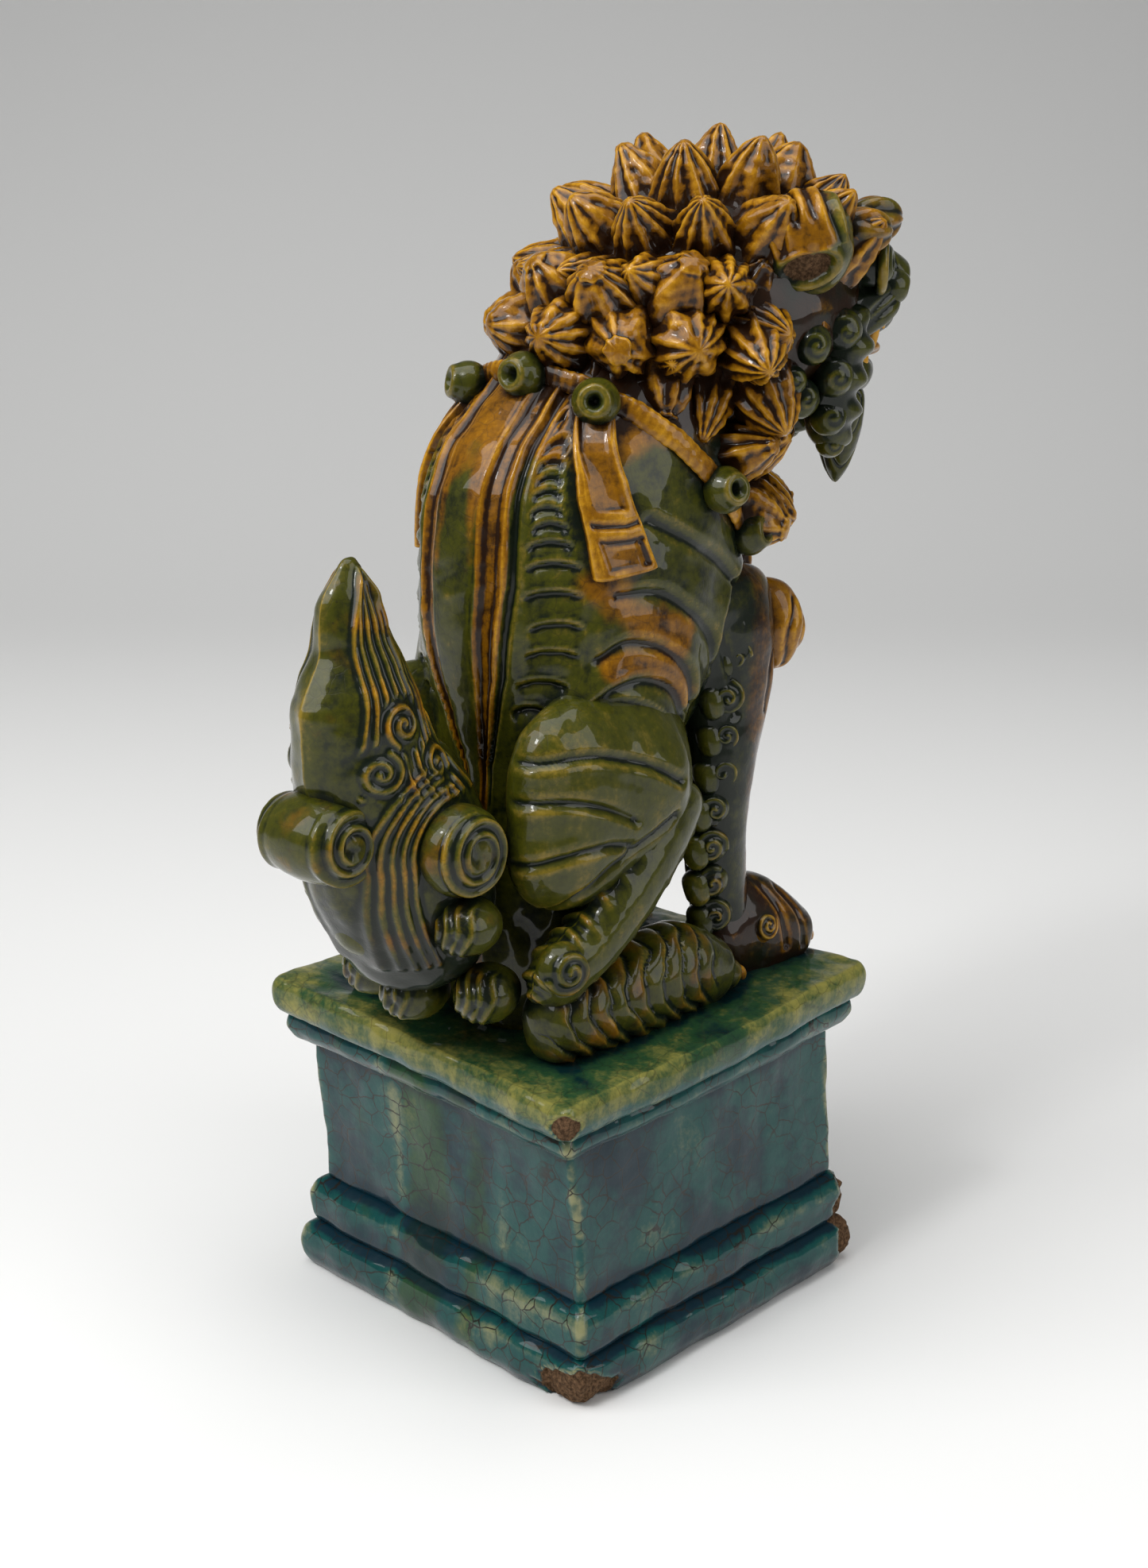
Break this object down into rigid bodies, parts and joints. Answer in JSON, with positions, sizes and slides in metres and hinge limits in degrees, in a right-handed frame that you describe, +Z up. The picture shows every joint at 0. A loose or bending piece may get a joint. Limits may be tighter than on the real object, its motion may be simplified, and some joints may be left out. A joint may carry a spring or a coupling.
{
  "type": "foo dog statue",
  "caption": "Seated guardian lion of glazed stoneware, its head turned aside, with a curled mane, a belled collar and a flame tail, on a square moulded plinth.",
  "frame": {"origin": "centre of the plinth's foot, on the surface that it stands on", "axes": "+Z up, -Y the way the lion sits facing, +X towards the lion's left"},
  "size_m": [0.134, 0.2158, 0.3581],
  "materials": {
    "slab_glaze": "dark green glaze",
    "plinth_glaze": "crazed blue-green glaze",
    "body_glaze": "olive glaze streaked with amber",
    "limb_glaze": "dark olive glaze",
    "amber_glaze": "amber glaze over brown",
    "pale_glaze": "thin straw glaze"
  },
  "bodies": {
    "root": {"plinth_top_slab": "slab_glaze", "plinth_cornice": "plinth_glaze", "plinth_wall_front": "plinth_glaze", "plinth_wall_back": "plinth_glaze", "plinth_wall_left": "plinth_glaze", "plinth_wall_right": "plinth_glaze", "plinth_step_moulding": "plinth_glaze", "plinth_foot_moulding": "plinth_glaze", "torso_half_left": "body_glaze", "torso_half_right": "body_glaze", "front_leg_left": "limb_glaze", "front_leg_right": "limb_glaze", "front_paw_left": "amber_glaze", "front_paw_right": "amber_glaze", "front_leg_fringe_left": "limb_glaze", "front_leg_fringe_right": "limb_glaze", "hind_leg_left": "limb_glaze", "hind_leg_right": "limb_glaze", "hind_paw_left": "limb_glaze", "hind_paw_right": "limb_glaze", "tail_flame": "limb_glaze", "tail_scrolls": "limb_glaze", "tail_root_buds": "limb_glaze", "head": "limb_glaze", "lower_jaw": "limb_glaze", "tongue": "limb_glaze", "teeth": "pale_glaze", "nose": "limb_glaze", "eyes": "pale_glaze", "brows": "amber_glaze", "ear_left": "amber_glaze", "ear_right": "amber_glaze", "cheek_curls": "limb_glaze", "beard": "limb_glaze", "mane_curls_crown": "amber_glaze", "mane_curls_neck": "amber_glaze", "mane_curls_breast": "amber_glaze", "collar_band": "amber_glaze", "collar_bells": "limb_glaze", "collar_tassels": "amber_glaze", "ribbon_left": "amber_glaze", "ribbon_right": "amber_glaze"}
  },
  "joints": []
}
